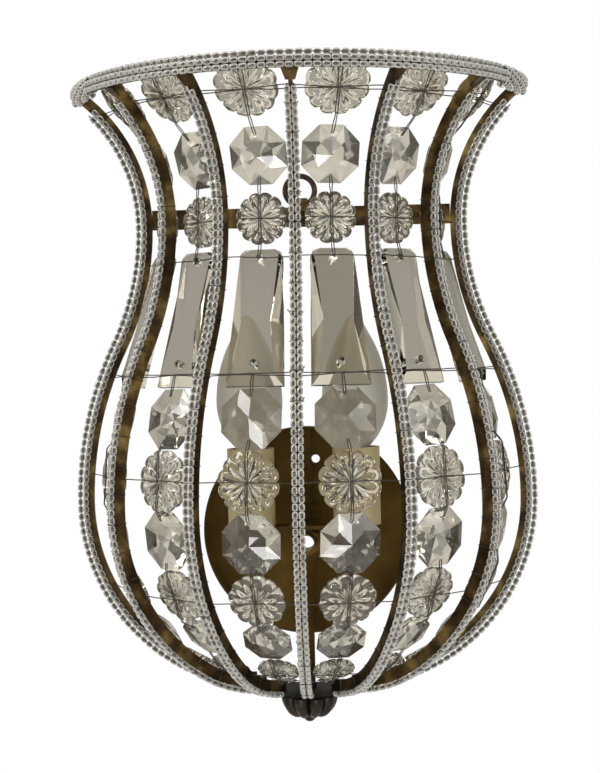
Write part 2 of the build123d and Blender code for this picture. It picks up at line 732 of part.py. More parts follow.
def column_wires(column):
    wires = upright_wires(column)
    for row in crystal_rows:
        if row.kind == "rosette":
            wires.append(cross_wire(column, row.height))
            if row.name == top_row:
                wires.append(cross_wire(column, row.height, -2 * wire_diameter))
    wires.append(cross_wire(column, prism_top_height))
    wires.append(cross_wire(column, prism_low_height))
    wires.append(cross_wire(column, prism_low_height, 2 * wire_diameter))
    return group(wires)


# ---------------------------------------------------------------- write every sub-part
save("rim_band", rim_band())
save("bottom_hub", bottom_hub())
save("top_crossbar", top_crossbar())
save("hanging_ring", hanging_ring())
save("backplate", backplate())
save("back_spine", back_spine())
save("finial_cup", finial_cup())
save("finial_screw", finial_screw())
save("finial_nut", finial_nut())
save("bracket_nipple", bracket_nipple())
save("bracket_nut", bracket_nut())
save("lamp_bracket", lamp_bracket())
save("lampholder_nuts", group(holder_nut(side) for side in (-1, 1)))
for side, word in ((-1, "left"), (1, "right")):
    save("lampholder_" + word, lampholder(side))
    save("candle_sleeve_" + word, candle_sleeve(side))
    save("bulb_cap_" + word, bulb_cap(side))
    save("bulb_glass_" + word, bulb_glass(side))
for place, number in enumerate(rib_numbers, start=1):
    save(f"rib_{place}", rib(number))
    save(f"rib_beads_{place}", rib_beads(number))
save("rim_beads", rim_beads())
for row in crystal_rows:
    save(row.name, group(crystal(row, column) for column in column_numbers))
save("prism_row_4", group(prism(column) for column in column_numbers))
for column in column_numbers:
    save(f"column_wires_{column + 1}", column_wires(column))
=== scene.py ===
"""Looks of the crystal wall sconce: glass beads, moulded and cut crystals, tying wires and materials.

Metres, in the CAD's frame: +X is the viewer's right, +Z up, +Y into the wall.
"""
import math
import random

import bpy
from mathutils import Matrix, Vector


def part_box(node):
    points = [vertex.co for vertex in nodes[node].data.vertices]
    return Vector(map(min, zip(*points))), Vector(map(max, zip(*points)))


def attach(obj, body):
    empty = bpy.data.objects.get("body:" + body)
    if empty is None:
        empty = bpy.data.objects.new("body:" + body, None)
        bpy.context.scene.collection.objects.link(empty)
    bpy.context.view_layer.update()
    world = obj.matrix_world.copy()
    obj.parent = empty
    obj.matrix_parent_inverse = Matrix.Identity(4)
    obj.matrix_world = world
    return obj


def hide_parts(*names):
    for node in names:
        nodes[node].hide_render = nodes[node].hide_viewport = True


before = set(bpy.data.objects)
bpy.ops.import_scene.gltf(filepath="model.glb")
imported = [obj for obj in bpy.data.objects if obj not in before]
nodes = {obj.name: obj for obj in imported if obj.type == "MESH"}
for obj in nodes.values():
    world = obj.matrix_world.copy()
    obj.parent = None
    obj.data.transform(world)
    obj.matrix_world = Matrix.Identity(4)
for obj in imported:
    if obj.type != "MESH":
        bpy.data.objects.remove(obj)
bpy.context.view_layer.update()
chance = random.Random(7)

# ---------------------------------------------------------------- the basket's outline, as in the CAD
LAST_RIB = 3                               # the ribs run from -3 to 3, from left to right
RIBS = range(-LAST_RIB, LAST_RIB + 1)
COLUMNS = range(2 * LAST_RIB)
RIB_SLICE = math.radians(360 / 14)
RIM_RADIUS, NECK_RADIUS, BELLY_RADIUS, HUB_REACH = 0.124, 0.0898, 0.1263, 0.030
RIM_HEIGHT, NECK_HEIGHT, BELLY_HEIGHT, BASE_HEIGHT = 0.237, 0.168, 0.017, -0.084
NECK_CURVE = 0.140                         # radius of the neck's hollow, on a rib with a reach of 1
BILGE_SHARE = 0.78                         # radius of the lowest arc, over the belly's reach past the hub
RIB_DEPTH, RIB_THICKNESS = 0.006, 0.002
BASKET_Y = -0.0015                         # the plane of the two end ribs
BAND_HEIGHT, BAND_THICKNESS = 0.006, 0.0016
RIM_TOP = RIM_HEIGHT + BAND_HEIGHT
HUB_RADIUS = 0.0332
PATH_STEP = 0.001                          # about the distance between a path's points

# Beads
BEAD_WIDTH, BEAD_LENGTH = 0.0032, 0.0040
HALF_BEAD = BEAD_WIDTH / 2
BEAD_GAP = 0.00015
BEAD_STEP = BEAD_WIDTH + BEAD_GAP          # from one string or turn of a coil to the next
BEAD_PITCH, RIM_BEAD_PITCH = 0.0041, 0.0046
RIM_BEAD_SHARE = 0.96                      # length of a bead on the rim, as a share of its pitch
BEAD_SIDES, BORE_SIDES = 10, 6
BEAD_PROFILE = [                           # shares of a bead's half length and of its radius
    (-1.0, 0.42), (-0.90, 0.74), (-0.6, 0.95), (0.0, 1.0), (0.6, 0.95), (0.90, 0.74), (1.0, 0.42),
]
BEAD_END_RINGS = (0, 5)                    # the ends of a bead, lighter and milkier as a painted highlight, among the rings of its outline
BORE_SHARE = 0.44                          # dark bore of a bead, as a share of its width
BORE_PROFILE = [(-0.62, 0.6), (-0.45, 1.0), (0.45, 1.0), (0.62, 0.6)]
BEAD_SIZES = (0.93, 1.0)                   # smallest and largest bead, as a share of the full size
BEAD_LEAN = 0.05                           # most that a bead leans off its thread, as a slope
STRING_DROP = 0.006                        # the strings end this far under the rim
STRING_HUB_GAP = 0.001                     # and this far outside the bottom plate
RIM_ROW_PITCH = 0.0033
RIM_WALL_GAP = 0.0006                      # the rim's beads stop this far in front of the wall
RIM_COIL_TURNS = 11                        # beads wound round each end of the rim band
COIL_STEPS = 24                            # points in one turn of a coil
COIL_START = 1.3                           # half beads from the wall gap to the first turn
THREAD_RADIUS = 0.00035
THREAD_STRIDE = 3                          # the thread takes every third point of its path

# Wires
WIRE_RADIUS = 0.00029
WIRE_INSET = 0.0045                        # the wires meet a rib this far inside its outer edge
WIRE_END = 0.4                             # and end this share of its thickness from its middle
WIRE_SWAY = 0.00012                        # most that a point of a bent wire is out of line
WIRE_DROOP = 0.0005                        # most that a level wire's middle is off its height
WIRE_END_PLAY = 0.0006                     # most that its ends are off theirs
WIRE_BOW = 0.0004
WIRE_LIFT = 2.6                            # the uprights lie this many radii in front of a rosette's plane
PINCH = 0.3                                # distance of a level pair at its middle, as a share of its ends
SINGLE_WIRE = (0.0,)                       # heights of level wires at a rib, from the row's height
TOP_PAIR = (0.0011, -0.0011)
PRISM_PAIR = (0.0005, -0.0008)
UPRIGHT_SPREAD, UPRIGHT_FOOT = 0.0005, 0.00045
UPRIGHT_BOW = 0.0002
BAND_WIRE_SPREAD = 0.0011
BAND_WIRE_RISE = 0.0125                    # from the middle of a top rosette up behind the rim band

# Ties of the strings
TIE_RADIUS = WIRE_RADIUS * 0.8
TIE_PITCH, TIE_START = 0.0155, 0.35        # distance between ties, and share of it before the first
TIE_SHOULDER = (0.75, 0.4)                 # where a tie bends, as shares of its half width and height
STUB_SIDES = (-1, 0, 0, 1)                 # half of the ties show their twisted end, left or right
STUB_FOOT = (0.0028, 0.0008)               # its foot, beside and above the rib's outer edge
STUB_REACH = (0.0008, 0.0018)              # least and most that it stands out
STUB_LEAN = (0.0012, 0.0028)               # least and most that it leans along the rib
STUB_ARCH = 0.0003

# Finial cup
CUP_PETALS = 9
CUP_RINGS, PETAL_SAMPLES = 16, 16
CUP_SHARE = 0.84                           # its height, as a share of the way down to the knob's foot
CUP_FULLNESS = 0.6                         # power that rounds its outline; less is fuller
CUP_FALL = 1.1                             # power of its depth along the outline
PETAL_FULLNESS = 0.65                      # power that rounds a petal; less is fuller
CUP_VALLEY = 0.24                          # depth between petals, as a share of the cup's radius
VALLEY_FADE = 0.3                          # power by which the valleys fade towards its middle
CUP_DIMPLE = 0.12                          # hollow under its middle, as a share of its height
DIMPLE_START = 0.72                        # where the hollow begins, as a share of the outline

# Crystals
CRYSTAL_GAP = 0.00015
CRYSTAL_TURN = 4                           # most that a hand-hung crystal is turned, in degrees
ROSETTE_SHARE, OCTAGON_SHARE = 0.19, 0.29  # thickness, as a share of the diameter
SCALLOP = 0.115                            # depth of the notches between petals, as a share of the radius
ROSETTE_TIE = 0.9                          # where a rosette is tied, as a share of its radius
ROSETTE_SAMPLES = 10                       # points across one petal
# A rosette's rings lie at shares of its radius, and its depths are shares of its thickness.
ROSETTE_RINGS = (0.06, 0.10, 0.18, 0.28, 0.40, 0.52, 0.63, 0.72, 0.80, 0.88, 0.95, 1.0)
ROSETTE_BACK = ((0.985, 0.80), (0.93, 1.0), (0.5, 0.96), (0.06, 0.94))
ROSETTE_FRONT = 0.02
BORDER_START, BORDER_DEPTH, BORDER_POWER = 0.55, 0.42, 1.6
FLUTE_START, FLUTE_LENGTH, FLUTE_DEPTH = 0.04, 0.78, 0.30
FLUTE_END_POWER, FLUTE_SIDE_POWER = 0.6, 1.4
SINK_EDGE, SINK_DEPTH = 0.14, 0.25         # hollow round the hole in the middle

OCTAGON_HOLE = 0.72                        # where an octagon is tied, as a share of its half width
OCTAGON_HOLE_DEPTH = 0.26                  # and how deep its face is there, as a share of its thickness
STAR_SHARE, STAR_DEPTH = 0.58, 0.24        # its inner corners in front, by radius and thickness
STEP_SHARE, STEP_DEPTH = 0.44, 0.86        # and behind
GIRDLE_SHARE = 0.03
PRISM_TOP, PRISM_LOW = 0.147, 0.0885
PRISM_HOLE_INSET = 0.0053
PRISM_TOP_WIDTH, PRISM_LOW_WIDTH = 0.0225, 0.0305
PRISM_THICKNESS, PRISM_GIRDLE = 0.006, 0.0033
PRISM_CORNER, PRISM_BEVEL, PRISM_EDGE = 0.004, 0.0055, 0.001
PRISM_FOOT_BEVEL = (0.004, 0.005)
PRISM_WAIST = 0.12                         # the waist is this share of half its height under the middle
PRISM_HOLE_HEIGHT, PRISM_TOP_HOLE_DEPTH = 0.0115, 0.0055
HOLE_RADIUS = 0.0021
HOLE_SIDES = 12
ROWS = [                                   # CAD node, kind, height, diameter, petals or corners
    ("rosette_row_1", "rosette", 0.2270, 0.0338, 12),
    ("octagon_row_2", "octagon", 0.1960, 0.0324, 8),
    ("rosette_row_3", "rosette", 0.1665, 0.0272, 12),
    ("octagon_row_5", "octagon", 0.0665, 0.0340, 8),
    ("rosette_row_6", "rosette", 0.0333, 0.0328, 12),
    ("octagon_row_7", "octagon", 0.0005, 0.0332, 8),
    ("rosette_row_8", "rosette", -0.0305, 0.0300, 12),
    ("octagon_row_9", "octagon", -0.0555, 0.0270, 8),
    ("rosette_row_10", "rosette", -0.0740, 0.0220, 12),
    ("drop_row_11", "octagon", -0.0820, 0.0110, 8),
]

# Materials
GLASS_IOR = 1.54
MOTTLE_STOPS = (0.34, 0.52, 0.70)          # where a metal's dark, middle and bright colours lie in its noise
SOFT_STOPS = (0.3, 0.7)                    # where a pair of colours or glosses lies in its noise
FINE_GRAIN = 6                             # scale of a metal's fine noise over its coarse one's


# ---------------------------------------------------------------- materials
def new_material(name):
    """A material with its Principled shader and node tree."""
    material = bpy.data.materials.new(name)
    material.use_nodes = True
    return material, material.node_tree, material.node_tree.nodes["Principled BSDF"]


def add_noise(tree, scale, detail=6.0):
    """Noise in object coordinates."""
    place = tree.nodes.new("ShaderNodeTexCoord")
    noise = tree.nodes.new("ShaderNodeTexNoise")
    noise.inputs["Scale"].default_value = scale
    noise.inputs["Detail"].default_value = detail
    tree.links.new(place.outputs["Object"], noise.inputs["Vector"])
    return noise.outputs["Fac"]


def greys(stops):
    """Stops of a ramp whose colours are shades of grey."""
    return [(place, (grey, grey, grey)) for place, grey in stops]


def add_ramp(tree, value, stops):
    """Colours along a value from 0 to 1."""
    stops = list(stops)
    ramp = tree.nodes.new("ShaderNodeValToRGB")
    while len(ramp.color_ramp.elements) < len(stops):
        ramp.color_ramp.elements.new(0.5)
    for element, (place, colour) in zip(ramp.color_ramp.elements, stops):
        element.position = place
        element.color = (*colour, 1.0)
    tree.links.new(value, ramp.inputs["Fac"])
    return ramp.outputs["Color"]


def add_bump(tree, shader, height, strength, distance):
    """Fine relief of a surface, in metres."""
    bump = tree.nodes.new("ShaderNodeBump")
    bump.inputs["Strength"].default_value = strength
    bump.inputs["Distance"].default_value = distance
    tree.links.new(height, bump.inputs["Height"])
    tree.links.new(bump.outputs["Normal"], shader.inputs["Normal"])


def aged_metal(name, dark, middle, bright, metallic, grain, roughness=(0.32, 0.62)):
    """Old gilding or bronze: mottled colour, uneven gloss and a slightly rough surface."""
    material, tree, shader = new_material(name)
    mottle = add_noise(tree, grain)
    fine = add_noise(tree, FINE_GRAIN * grain)
    colour = add_ramp(tree, mottle, zip(MOTTLE_STOPS, (dark, middle, bright)))
    tree.links.new(colour, shader.inputs["Base Color"])
    gloss = add_ramp(tree, fine, greys(zip(SOFT_STOPS, roughness)))
    tree.links.new(gloss, shader.inputs["Roughness"])
    shader.inputs["Metallic"].default_value = metallic
    add_bump(tree, shader, fine, strength=0.35, distance=0.0004)
    return material


def glass_with_painted_edges(name, clear, edge, roughness, milk=0.0, turns=(0.25, 0.8)):
    """Glass whose tint is painted by the angle it is seen at, from clear where it faces the view to edge at a
    low angle: painted shade where edge is the darker, a painted highlight where it is the lighter; milk is
    its frosted share.
    """
    material, tree, shader = new_material(name)
    # painted light and shade: the tint follows the angle of view
    weight = tree.nodes.new("ShaderNodeLayerWeight")
    weight.inputs["Blend"].default_value = 0.5
    tint = add_ramp(tree, weight.outputs["Facing"], zip(turns, (clear, edge)))
    tree.links.new(tint, shader.inputs["Base Color"])
    shader.inputs["Transmission Weight"].default_value = 1.0 - milk
    shader.inputs["Roughness"].default_value = roughness
    shader.inputs["IOR"].default_value = GLASS_IOR
    return material


def plain_surface(name, dark, bright, roughness, grain):
    """A moulded or card surface with a faint variation in colour."""
    material, tree, shader = new_material(name)
    noise = add_noise(tree, grain)
    colour = add_ramp(tree, noise, zip(SOFT_STOPS, (dark, bright)))
    tree.links.new(colour, shader.inputs["Base Color"])
    shader.inputs["Roughness"].default_value = roughness
    add_bump(tree, shader, noise, strength=0.05, distance=0.0005)
    return material


gilt = aged_metal("gilt_iron", (0.018, 0.009, 0.003), (0.056, 0.033, 0.010), (0.190, 0.128, 0.042),
                  metallic=0.9, grain=90, roughness=(0.4, 0.62))
# painted shade: a darker, duller copy of the gilt, for the bottom hub
painted_shade_gilt = aged_metal("gilt_iron_painted_shade", (0.006, 0.004, 0.002), (0.014, 0.009, 0.004),
                         (0.030, 0.020, 0.008), metallic=0.5, grain=120, roughness=(0.6, 0.8))
old_gold = aged_metal("old_gold", (0.042, 0.023, 0.0035), (0.056, 0.032, 0.0055), (0.082, 0.050, 0.010),
                      metallic=0.9, grain=28, roughness=(0.45, 0.6))
ring_iron = aged_metal("ring_iron", (0.020, 0.010, 0.006), (0.045, 0.024, 0.013), (0.09, 0.052, 0.03),
                       metallic=0.8, grain=220)
bronze = aged_metal("dark_bronze", (0.007, 0.005, 0.002), (0.014, 0.009, 0.004), (0.040, 0.027, 0.012),
                    metallic=0.7, grain=180, roughness=(0.28, 0.5))
brass = aged_metal("aged_brass", (0.060, 0.034, 0.008), (0.105, 0.064, 0.018), (0.20, 0.13, 0.045),
                   metallic=0.95, grain=120, roughness=(0.35, 0.55))
wire_iron = aged_metal("binding_wire", (0.012, 0.009, 0.006), (0.024, 0.017, 0.012), (0.05, 0.037, 0.026),
                       metallic=0.3, grain=300)
bore_brown = plain_surface("bead_bore", (0.010, 0.007, 0.004), (0.034, 0.023, 0.014),
                           roughness=0.8, grain=240)
cream = plain_surface("cream_sleeve", (0.35, 0.285, 0.135), (0.43, 0.36, 0.19), roughness=0.55, grain=90)
socket_white = plain_surface("holder_plastic", (0.60, 0.57, 0.48), (0.68, 0.65, 0.56),
                             roughness=0.35, grain=60)
# painted shade: the crystals' edge colours darken them where they are seen at a low angle
octagon_glass = glass_with_painted_edges("cut_crystal", (0.55, 0.51, 0.42), (0.29, 0.26, 0.20), roughness=0.0, milk=0.03)
# painted highlight: a lighter, milkier copy of the cut crystal, for the outer front facets of the octagons
bevel_painted_highlight_glass = glass_with_painted_edges("cut_crystal_bevel_painted_highlight", (0.62, 0.575, 0.475), (0.42, 0.38, 0.305),
                          roughness=0.0, milk=0.06)
prism_glass = glass_with_painted_edges("prism_crystal", (0.67, 0.61, 0.485), (0.42, 0.38, 0.29), roughness=0.0)
moulded_glass = glass_with_painted_edges("moulded_crystal", (0.68, 0.63, 0.515), (0.24, 0.215, 0.16),
                            roughness=0.06, milk=0.05)
# painted light: beads dark where they face the view and near white where seen at a low angle, a painted shade
# in the middle and a painted highlight on the outline; their ends are lighter and milkier, a painted
# highlight
bead_glass = glass_with_painted_edges("bead_glass", (0.10, 0.075, 0.045), (1.0, 0.97, 0.88),
                         roughness=0.02, milk=0.30, turns=(0.05, 0.26))
bead_ends_painted_highlight_glass = glass_with_painted_edges("bead_ends_painted_highlight", (0.74, 0.70, 0.61), (1.0, 0.97, 0.88),
                             roughness=0.12, milk=0.45, turns=(0.06, 0.26))


def frosted_glass():
    """Frosted bulb: mostly scattered white, with a soft sheen."""
    material, tree, shader = new_material("frosted_glass")
    tints = ((0.52, 0.50, 0.435), (0.58, 0.56, 0.495))
    tint = add_ramp(tree, add_noise(tree, scale=40), zip(SOFT_STOPS, tints))
    tree.links.new(tint, shader.inputs["Base Color"])
    shader.inputs["Roughness"].default_value = 0.42
    shader.inputs["Transmission Weight"].default_value = 0.25
    add_bump(tree, shader, add_noise(tree, scale=900, detail=2.0), strength=0.08, distance=0.0003)
    return material


def dress(names, material):
    """Gives CAD nodes a material."""
    for name in names:
        data = nodes[name].data
        data.materials.clear()
        data.materials.append(material)


dress([f"rib_{n}" for n in range(1, 8)] + ["rim_band", "top_crossbar"], gilt)
# the hub takes the darker copy of the gilt as painted shade
dress(["bottom_hub"], painted_shade_gilt)
dress(["backplate", "back_spine", "lamp_bracket"], old_gold)
dress(["hanging_ring"], ring_iron)
dress(["finial_cup", "finial_screw", "finial_nut"], bronze)
dress(["bracket_nipple", "bracket_nut", "lampholder_nuts", "bulb_cap_left", "bulb_cap_right"], brass)
dress(["lampholder_left", "lampholder_right"], socket_white)
dress(["candle_sleeve_left", "candle_sleeve_right"], cream)
dress(["bulb_glass_left", "bulb_glass_right"], frosted_glass())


# ---------------------------------------------------------------- rib outline
def rib_offset(rib):
    """Where a rib lies on a plan circle of radius 1, from the middle of the basket's back."""
    angle = rib * RIB_SLICE
    return math.sin(angle), math.cos(angle) - math.cos(LAST_RIB * RIB_SLICE)


def rib_spans(rib):
    """Tangent arcs of a rib's outer edge from the hub up: centre, radius, bulges out, low and high angle."""
    reach = math.hypot(*rib_offset(rib))
    neck, belly, hub = reach * NECK_RADIUS, reach * BELLY_RADIUS, reach * HUB_REACH
    flare_out = reach * RIM_RADIUS - neck
    flare_up = RIM_HEIGHT - NECK_HEIGHT
    flare = (flare_out**2 + flare_up**2) / (2 * flare_out)
    swell, fall = belly - neck, NECK_HEIGHT - BELLY_HEIGHT
    both = (swell**2 + fall**2) / (2 * swell)
    hollow = NECK_CURVE / reach
    shoulder = both - hollow
    bend = math.asin(fall / both)
    overhang, drop = belly - hub, BELLY_HEIGHT - BASE_HEIGHT
    bilge = BILGE_SHARE * overhang
    side = (overhang**2 + drop**2 - 2 * drop * bilge) / (2 * (overhang - bilge))
    turn = math.atan2(BASE_HEIGHT + bilge - BELLY_HEIGHT, hub - belly + side)
    return [
        ((hub, BASE_HEIGHT + bilge), bilge, True, -math.pi / 2, turn),
        ((belly - side, BELLY_HEIGHT), side, True, turn, 0.0),
        ((belly - shoulder, BELLY_HEIGHT), shoulder, True, 0.0, bend),
        ((neck + hollow, NECK_HEIGHT), hollow, False, bend, 0.0),
        ((neck + flare, NECK_HEIGHT), flare, False, 0.0, -math.asin(flare_up / flare)),
    ]


def span_point(span, angle, offset=0.0):
    """Distance out and height of a point, moved square to the edge by offset."""
    centre, radius, bulges = span[:3]
    arm = radius + offset if bulges else offset - radius
    return centre[0] + arm * math.cos(angle), centre[1] + arm * math.sin(angle)


def angle_at_height(span, height):
    """Angle at which a span reaches a height, kept to a quarter turn."""
    centre, radius, bulges = span[:3]
    sine = (height - centre[1]) / radius * (1 if bulges else -1)
    return math.asin(max(-1.0, min(1.0, sine)))


def edge_place(rib, height, offset=0.0):
    """Distance out and height on a rib's outer edge, moved square to the edge by offset."""
    for span in rib_spans(rib):
        if height <= span_point(span, span[4])[1]:
            break
    return span_point(span, angle_at_height(span, height), offset)


def rib_axes(rib):
    """Level unit vectors out from the middle of the back to a rib, and across it to the right."""
    sideways, forward = rib_offset(rib)
    out = Vector((sideways, -forward, 0)).normalized()
    return out, Vector((-out.y, out.x, 0))


def rib_path(rib, offset, shift, low_reach, high):
    """Points along a rib at an offset from its outer edge, with the outward normal at each."""
    out, across = rib_axes(rib)
    reach = math.hypot(*rib_offset(rib))
    spans = rib_spans(rib)
    points = []
    for span in spans:
        start, end = span[3:]
        if span is spans[0]:
            start = -math.acos((reach * low_reach - span[0][0]) / span[1])
        if span is spans[-1]:
            end = angle_at_height(span, high)
        steps = max(2, round(abs(end - start) * span[1] / PATH_STEP))
        for step in range(1 if points else 0, steps + 1):
            angle = start + (end - start) * step / steps
            far, up = span_point(span, angle, offset)
            place = out * far + across * shift + Vector((0, BASKET_Y, up))
            points.append((place, out * math.cos(angle) + Vector((0, 0, math.sin(angle)))))
    return points


def rim_centre():
    """The plan centre of the rim, behind the wall."""
    return BASKET_Y + RIM_RADIUS * math.cos(LAST_RIB * RIB_SLICE)


def rim_path(radius, height, cut):
    """Points round the rim from the left end to the right, with the outward normal at each."""
    centre_y = rim_centre()
    reach = math.acos((centre_y + RIM_WALL_GAP) / radius) - cut / radius
    steps = round(2 * reach * radius / PATH_STEP)
    points = []
    for step in range(steps + 1):
        angle = -reach + 2 * reach * step / steps
        outward = Vector((math.sin(angle), -math.cos(angle), 0))
        points.append((outward * radius + Vector((0, centre_y, height)), outward))
    return points


def marks_along(path, pitch, start=0.5):
    """Place, direction and outward normal at even steps along a path."""
    total = sum((b[0] - a[0]).length for a, b in zip(path, path[1:]))
    count = int(total / pitch)
    spare = (total - count * pitch) / 2
    marks, walked, index = [], 0.0, 0
    for number in range(count):
        goal = spare + pitch * (number + start)
        while index < len(path) - 2 and walked + (path[index + 1][0] - path[index][0]).length < goal:
            walked += (path[index + 1][0] - path[index][0]).length
            index += 1
        (here, normal), (there, _) = path[index], path[index + 1]
        way = (there - here).normalized()
        marks.append((here + way * (goal - walked), way, normal))
    return marks


# ---------------------------------------------------------------- mesh helpers
class Build:
    """Vertices and faces of one piece, with a material number for each face."""

    def __init__(self):
        self.points, self.faces, self.kinds = [], [], []

    def add(self, points, faces, kind=0):
        """Adds a solid; kind is one material number for all its faces, or a list with each face's own."""
        first = len(self.points)
        self.points.extend(points)
        self.faces.extend([tuple(first + i for i in face) for face in faces])
        self.kinds.extend(kind if isinstance(kind, list) else [kind] * len(faces))

    def finish(self, name, materials, body, replaced=(), smooth_angle=None):
        """Makes the piece, smooth except at edges sharper than smooth_angle, or flat without one."""
        mesh = bpy.data.meshes.new(name)
        mesh.from_pydata([tuple(p) for p in self.points], [], self.faces)
        for material in materials:
            mesh.materials.append(material)
        mesh.polygons.foreach_set("material_index", self.kinds)
        if smooth_angle is not None:
            mesh.polygons.foreach_set("use_smooth", [True] * len(mesh.polygons))
            mesh.set_sharp_from_angle(angle=math.radians(smooth_angle))
        mesh.update()
        piece = bpy.data.objects.new(name, mesh)
        bpy.context.scene.collection.objects.link(piece)
        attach(piece, body)
        if replaced:
            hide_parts(*replaced)
        return piece


def rings_to_faces(rings, sides, closed_ends=True):
    """Faces of a skin over rings of vertices, all with the same number of sides."""
    faces = []
    for ring in range(rings - 1):
        for side in range(sides):
            a, b = ring * sides + side, ring * sides + (side + 1) % sides
            faces.append((a, b, b + sides, a + sides))
    if closed_ends:
        faces.append(tuple(reversed(range(sides))))
        faces.append(tuple(range((rings - 1) * sides, rings * sides)))
    return faces


def tube(build, path, radius, sides=6, kind=0, closed=False):
    """Round wire along a list of points."""
    points = []
    count = len(path)
    reference = None
    for index, place in enumerate(path):
        before = path[index - 1] if index or closed else place
        after = path[(index + 1) % count] if index < count - 1 or closed else place
        way = (after - before).normalized()
        if reference is None:
            reference = way.orthogonal().normalized()
        reference = (reference - way * reference.dot(way)).normalized()
        other = way.cross(reference)
        for side in range(sides):
            turn = 2 * math.pi * side / sides
            points.append(place + reference * (radius * math.cos(turn)) + other * (radius * math.sin(turn)))
    faces = rings_to_faces(count, sides, not closed)
    if closed:
        last = (count - 1) * sides
        for side in range(sides):
            faces.append((last + side, last + (side + 1) % sides, (side + 1) % sides, side))
    build.add(points, faces, kind)


def lathe(build, place, way, profile, sides, kind=0, roll=0.0):
    """A turned solid: profile holds distances along the axis and radii, with the ends closed."""
    across = way.orthogonal().normalized()
    other = way.cross(across)
    points = []
    for along, radius in profile:
        for side in range(sides):
            turn = roll + 2 * math.pi * side / sides
            rightward, upward = across * (radius * math.cos(turn)), other * (radius * math.sin(turn))
            points.append(place + way * along + rightward + upward)
    build.add(points, rings_to_faces(len(profile), sides), kind)


# ---------------------------------------------------------------- beads
BEAD_MATERIALS = [bead_glass, wire_iron, bore_brown, bead_ends_painted_highlight_glass]
GLASS, THREAD, BORE, END_HIGHLIGHT_GLASS = range(len(BEAD_MATERIALS))
BEAD_KINDS = []                            # material numbers of a bead's faces, its ends with the painted-highlight glass
for ring in range(len(BEAD_PROFILE) - 1):
    BEAD_KINDS += [END_HIGHLIGHT_GLASS if ring in BEAD_END_RINGS else GLASS] * BEAD_SIDES
BEAD_KINDS += [END_HIGHLIGHT_GLASS, END_HIGHLIGHT_GLASS]


def scaled(profile, along, radius):
    """A lathe's profile from shares of a half length and a radius."""
    return [(along * share, radius * size) for share, size in profile]


def bead(build, place, way, width, length):
    """An oval glass bead with flattened ends and a dark bore."""
    half, radius = length / 2, width / 2
    roll = chance.uniform(0, 1)
    lathe(build, place, way, scaled(BEAD_PROFILE, half, radius), BEAD_SIDES, BEAD_KINDS, roll)
    lathe(build, place, way, scaled(BORE_PROFILE, half, radius * BORE_SHARE), BORE_SIDES, BORE)


def string_of_beads(build, path, pitch, length):
    """Beads along a path, a little uneven, on their dark thread."""
    for place, way, _ in marks_along(path, pitch):
        size = chance.uniform(*BEAD_SIZES)
        lean = Vector([chance.uniform(-BEAD_LEAN, BEAD_LEAN) for _ in range(3)])
        bead(build, place, (way + lean).normalized(), BEAD_WIDTH * size, length * size)
    thread = [place for place, _ in path[::THREAD_STRIDE]] + [path[-1][0]]
    tube(build, thread, THREAD_RADIUS, sides=5, kind=THREAD)


def rib_strings(rib):
    """Centre paths of the two bead strings on a rib."""
    centre = BEAD_GAP + HALF_BEAD
    step = BEAD_STEP / 2
    ends = (HUB_RADIUS + STRING_HUB_GAP, RIM_HEIGHT - STRING_DROP)
    if abs(rib) < LAST_RIB:
        return [rib_path(rib, centre, side * step, *ends) for side in (-1, 1)]
    inward = -1 if rib > 0 else 1
    front = inward * (RIB_THICKNESS / 2 + BEAD_GAP + HALF_BEAD)
    return [rib_path(rib, centre, inward * step / 2, *ends), rib_path(rib, -centre, front, *ends)]


for rib in RIBS:
    strings = Build()
    for path in rib_strings(rib):
        string_of_beads(strings, path, BEAD_PITCH, BEAD_LENGTH)
    name = f"rib_beads_{rib + LAST_RIB + 1}"
    strings.finish("glass_" + name, BEAD_MATERIALS, "basket", [name], 40)


def rim_coil(side):
    """Path of the beads wound round one end of the rim band."""
    centre_y = rim_centre()
    middle = RIM_RADIUS + BAND_THICKNESS / 2
    first = math.acos((centre_y + RIM_WALL_GAP + HALF_BEAD * COIL_START) / middle)
    out, up = BAND_THICKNESS / 2 + BEAD_GAP + HALF_BEAD, BAND_HEIGHT / 2 + BEAD_GAP + HALF_BEAD
    path = []
    for step in range(COIL_STEPS * RIM_COIL_TURNS + 1):
        turn = 2 * math.pi * step / COIL_STEPS
        angle = side * (first - BEAD_STEP * step / COIL_STEPS / middle)
        outward = Vector((math.sin(angle), -math.cos(angle), 0))
        radius = middle + out * math.cos(turn)
        place = outward * radius + Vector((0, centre_y, RIM_HEIGHT + BAND_HEIGHT / 2 + up * math.sin(turn)))
        path.append((place, outward))
    return path


rim_rows = Build()
coil_length = RIM_COIL_TURNS * BEAD_STEP
outer_row = RIM_RADIUS + BAND_THICKNESS + BEAD_GAP + HALF_BEAD
rim_lines = [
    rim_path(RIM_RADIUS + BAND_THICKNESS / 2, RIM_TOP + BEAD_GAP + HALF_BEAD, coil_length),
    rim_path(outer_row, RIM_TOP - HALF_BEAD, coil_length),
    rim_path(outer_row, RIM_TOP - RIM_ROW_PITCH - HALF_BEAD, coil_length),
]
for path in rim_lines:
    string_of_beads(rim_rows, path, RIM_BEAD_PITCH, RIM_BEAD_PITCH * RIM_BEAD_SHARE)
for side in (-1, 1):
    string_of_beads(rim_rows, rim_coil(side), BEAD_PITCH, BEAD_LENGTH)
rim_rows.finish("glass_rim_beads", BEAD_MATERIALS, "basket", ["rim_beads"], 40)


